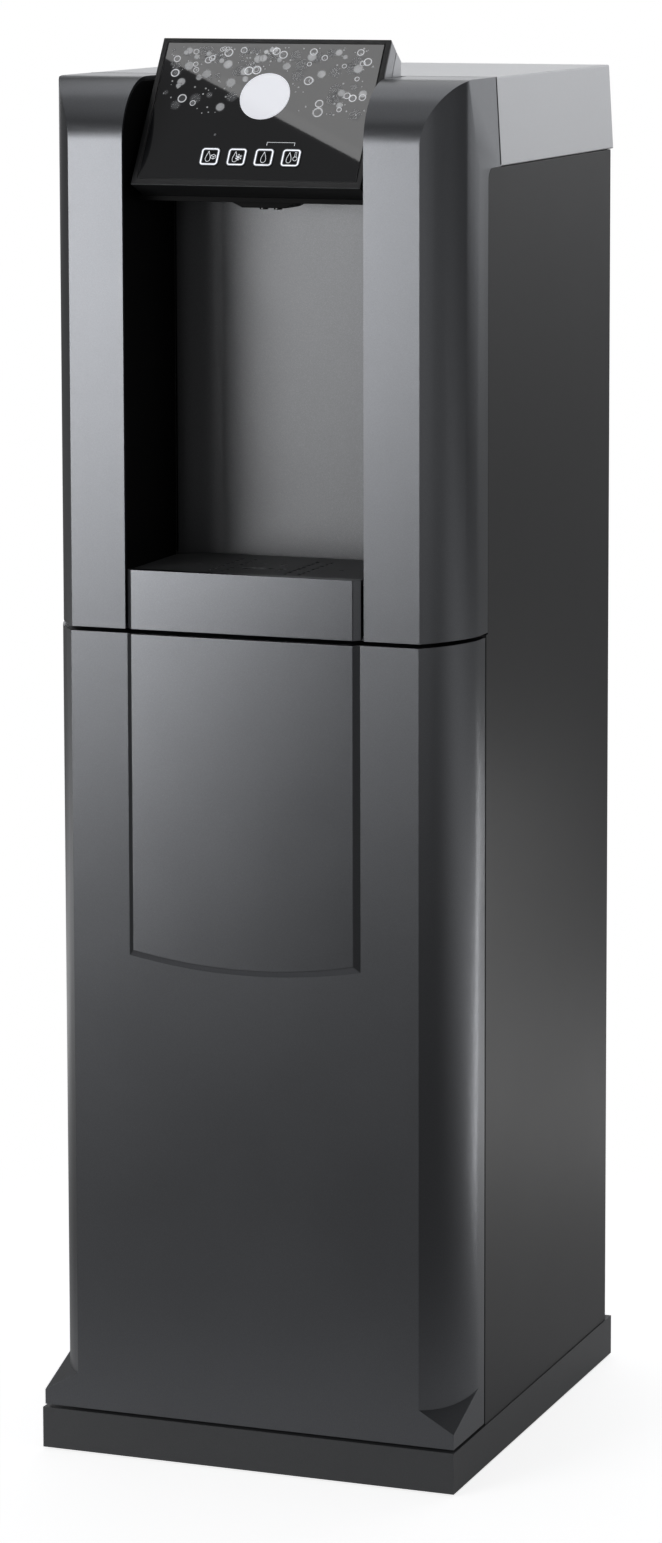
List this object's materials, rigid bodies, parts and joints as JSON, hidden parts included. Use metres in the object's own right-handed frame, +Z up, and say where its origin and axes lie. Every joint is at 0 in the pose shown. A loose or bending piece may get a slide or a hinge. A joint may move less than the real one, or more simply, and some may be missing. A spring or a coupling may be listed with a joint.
{
  "type": "bottom load water cooler",
  "caption": "Floor-standing water cooler with a bottle compartment behind its lower door, a dispensing alcove with a slide-out drip tray and a slanted touch head.",
  "frame": {"origin": "on the floor, in the middle of the overall width and depth", "axes": "+Z up, the front faces -Y, +X to the right of someone facing the front"},
  "size_m": [0.35, 0.406, 1.1289],
  "materials": {
    "anthracite_paint": "satin anthracite paint with a fine grain",
    "black_enamel": "black enamel",
    "black_plastic": "fine matt",
    "board_green": "lacquered",
    "button_lit": "translucent, lit",
    "clear_hose": "silicone",
    "copper": "plain copper",
    "dark_glass": "polished",
    "float_red": "plain",
    "foam": "expanded foam",
    "gloss_black": "gloss",
    "head_grey": "satin",
    "liner_grey": "satin",
    "magnet": "plain",
    "pin_steel": "ground",
    "plinth_plastic": "matt",
    "rubber": "matt",
    "stainless": "brushed",
    "steel_panel": "satin powder coat",
    "white_plastic": "plain",
    "zinc_sheet": "zinc plated"
  },
  "bodies": {
    "chassis": {"alcove_back_wall": "liner_grey", "alcove_side_left": "gloss_black", "alcove_side_right": "gloss_black", "back_panel": "zinc_sheet", "bottle_platform": "black_plastic", "bottle_probe": "white_plastic", "cold_line": "clear_hose", "cold_nozzle": "stainless", "cold_tank": "stainless", "cold_tank_insulation": "foam", "cold_valve": "white_plastic", "compressor": "black_enamel", "condenser_tube": "black_enamel", "condenser_wires": "black_enamel", "control_board": "board_green", "control_glass": "dark_glass", "control_housing": "head_grey", "drain_spout": "black_plastic", "filter_drier": "copper", "foot_pad_1": "rubber", "foot_pad_2": "rubber", "foot_pad_3": "rubber", "foot_pad_4": "rubber", "head_rear_hood": "head_grey", "hinge_pin_lower": "pin_steel", "hinge_pin_upper": "pin_steel", "hot_line": "clear_hose", "hot_nozzle": "stainless", "hot_switch_frame": "black_plastic", "hot_tank": "stainless", "hot_valve": "white_plastic", "keypad_mat": "rubber", "left_side_panel": "steel_panel", "machine_shelf": "zinc_sheet", "mains_inlet": "black_plastic", "nozzle_housing": "gloss_black", "plinth_base": "plinth_plastic", "power_board_box": "black_plastic", "probe_clip": "black_plastic", "pump_outlet_line": "clear_hose", "rear_top_cover": "head_grey", "right_side_panel": "steel_panel", "suction_hose": "clear_hose", "upper_front_cover": "anthracite_paint", "water_pump": "white_plastic"},
    "door": {"door_shell": "anthracite_paint", "door_centre_panel": "anthracite_paint", "door_inner_panel": "white_plastic", "door_magnet_lower": "magnet", "door_magnet_upper": "magnet"},
    "drip_tray": {"drip_tray_bowl": "black_plastic", "drip_tray_front": "anthracite_paint"},
    "tray_grille": {"drip_tray_grille": "black_plastic"},
    "tray_float_body": {"tray_float": "float_red"},
    "button_far_left_body": {"button_far_left": "button_lit"},
    "button_inner_left_body": {"button_inner_left": "button_lit"},
    "button_inner_right_body": {"button_inner_right": "button_lit"},
    "button_far_right_body": {"button_far_right": "button_lit"},
    "hot_switch_rocker_body": {"hot_switch_rocker": "float_red"},
    "drain_cap_body": {"drain_cap": "black_plastic"}
  },
  "joints": [
    {"name": "door_hinge", "type": "hinge", "parent": "chassis", "child": "door", "pos_m": [-0.168, -0.1388, 0.35], "axis": [0, 0, 1], "range_deg": [-110, 0]},
    {"name": "tray_slide", "type": "slide", "parent": "chassis", "child": "drip_tray", "axis": [0, -1, 0], "range_m": [0, 0.12]},
    {"name": "grille_lift", "type": "slide", "parent": "drip_tray", "child": "tray_grille", "axis": [0, 0, 1], "range_m": [0, 0.06]},
    {"name": "float_rise", "type": "slide", "parent": "drip_tray", "child": "tray_float_body", "axis": [0, 0, 1], "range_m": [0, 0.02]},
    {"name": "button_far_left_press", "type": "slide", "parent": "chassis", "child": "button_far_left_body", "axis": [0, 0.8467, -0.5321], "range_m": [0, 0.0012], "stiffness_N_per_m": 300, "springref_m": -0.001},
    {"name": "button_inner_left_press", "type": "slide", "parent": "chassis", "child": "button_inner_left_body", "axis": [0, 0.8467, -0.5321], "range_m": [0, 0.0012], "stiffness_N_per_m": 300, "springref_m": -0.001},
    {"name": "button_inner_right_press", "type": "slide", "parent": "chassis", "child": "button_inner_right_body", "axis": [0, 0.8467, -0.5321], "range_m": [0, 0.0012], "stiffness_N_per_m": 300, "springref_m": -0.001},
    {"name": "button_far_right_press", "type": "slide", "parent": "chassis", "child": "button_far_right_body", "axis": [0, 0.8467, -0.5321], "range_m": [0, 0.0012], "stiffness_N_per_m": 300, "springref_m": -0.001},
    {"name": "hot_switch", "type": "hinge", "parent": "chassis", "child": "hot_switch_rocker_body", "pos_m": [0.051, 0.1784, 0.9], "axis": [1, 0, 0], "range_deg": [-7, 7]},
    {"name": "drain_cap_pull", "type": "slide", "parent": "chassis", "child": "drain_cap_body", "axis": [0, 1, 0], "range_m": [0, 0.02]}
  ]
}
